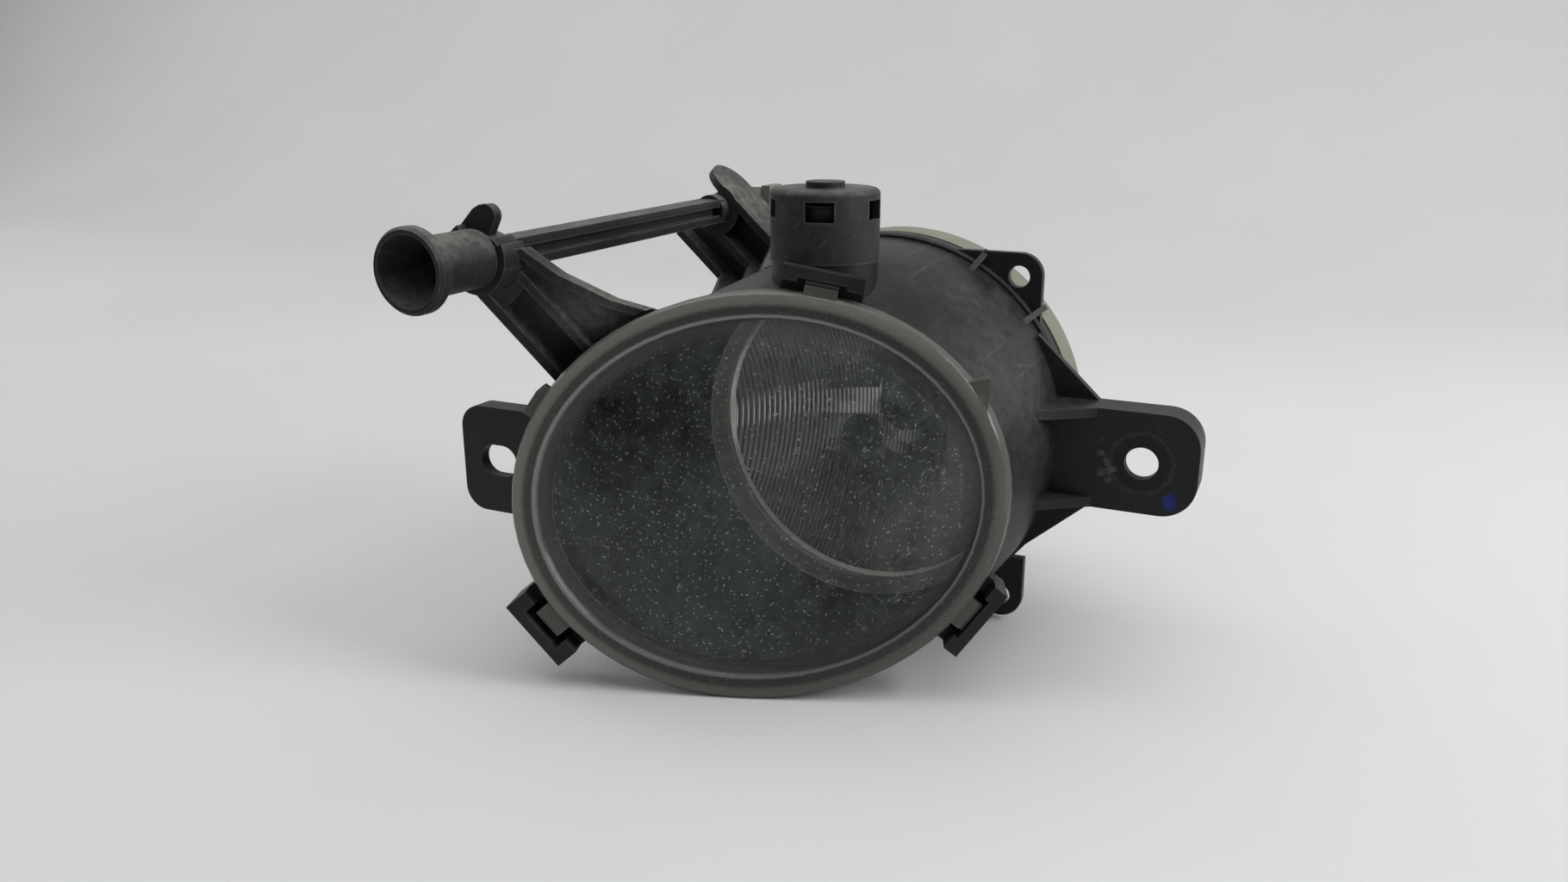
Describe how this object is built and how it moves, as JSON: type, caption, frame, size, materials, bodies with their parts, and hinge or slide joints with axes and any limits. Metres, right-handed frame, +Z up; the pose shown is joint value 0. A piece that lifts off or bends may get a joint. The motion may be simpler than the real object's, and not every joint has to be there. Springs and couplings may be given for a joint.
{
  "type": "fog light",
  "caption": "Front fog light with a swept oval lens, a round barrel, screw ears, a vent cap and a turning adjuster spindle that tilts the reflector inside.",
  "frame": {"origin": "centre of the right ear's screw hole, on the ear's front face", "axes": "+X to the right seen from the front, +Y towards the rear along the optical axis, +Z up"},
  "size_m": [0.175, 0.1808, 0.1261],
  "materials": {
    "housing": "moulded black plastic, dusty",
    "lens": "clear plastic, frosted rim",
    "rubber": "matt black rubber",
    "bezel": "black plastic with a grey opening ring",
    "membrane": "white breathable membrane",
    "steel": "bright steel",
    "nut": "natural nylon",
    "shell": "beige moulding compound",
    "reflector": "metallised inside, moulding compound behind",
    "base": "black plastic",
    "glass": "clear glass with a black tip",
    "filament": "tungsten wire",
    "red_seal": "red silicone rubber",
    "brass": "tinned brass"
  },
  "bodies": {
    "housing": {"housing": "housing", "front_arm": "housing", "rear_arm": "housing", "lens": "lens", "lens_seal": "rubber", "bezel": "bezel", "vent_cap": "housing", "vent_membrane": "membrane", "pivot_pins": "steel", "rear_seal": "rubber"},
    "adjuster": {"adjuster_spindle": "housing", "spindle_clip": "steel"},
    "nut": {"adjuster_nut": "nut"},
    "reflector": {"rear_shell": "shell", "reflector": "reflector", "reflector_screws": "steel", "bulb_base": "base", "bulb_collar": "steel", "bulb_glass": "glass", "filament": "filament", "bulb_seal": "red_seal", "terminals": "brass"}
  },
  "joints": [
    {"name": "adjuster_turn", "type": "hinge", "parent": "housing", "child": "adjuster", "pos_m": [-0.14, -0.049, 0.0545], "axis": [0, 1, 0], "range_deg": [-576, 576]},
    {"name": "nut_slide", "type": "slide", "parent": "housing", "child": "nut", "axis": [0, 1, 0], "range_m": [-0.00242, 0.00242]},
    {"name": "reflector_tilt", "type": "hinge", "parent": "housing", "child": "reflector", "pos_m": [-0.074, 0.027, 0], "axis": [1, 0, 0], "range_deg": [-2.6, 2.6]}
  ],
  "couplings": [
    {"joint": "nut_slide", "follows": "adjuster_turn", "m_per_rad": -0.00023873},
    {"joint": "reflector_tilt", "follows": "adjuster_turn", "ratio": 0.00438}
  ]
}
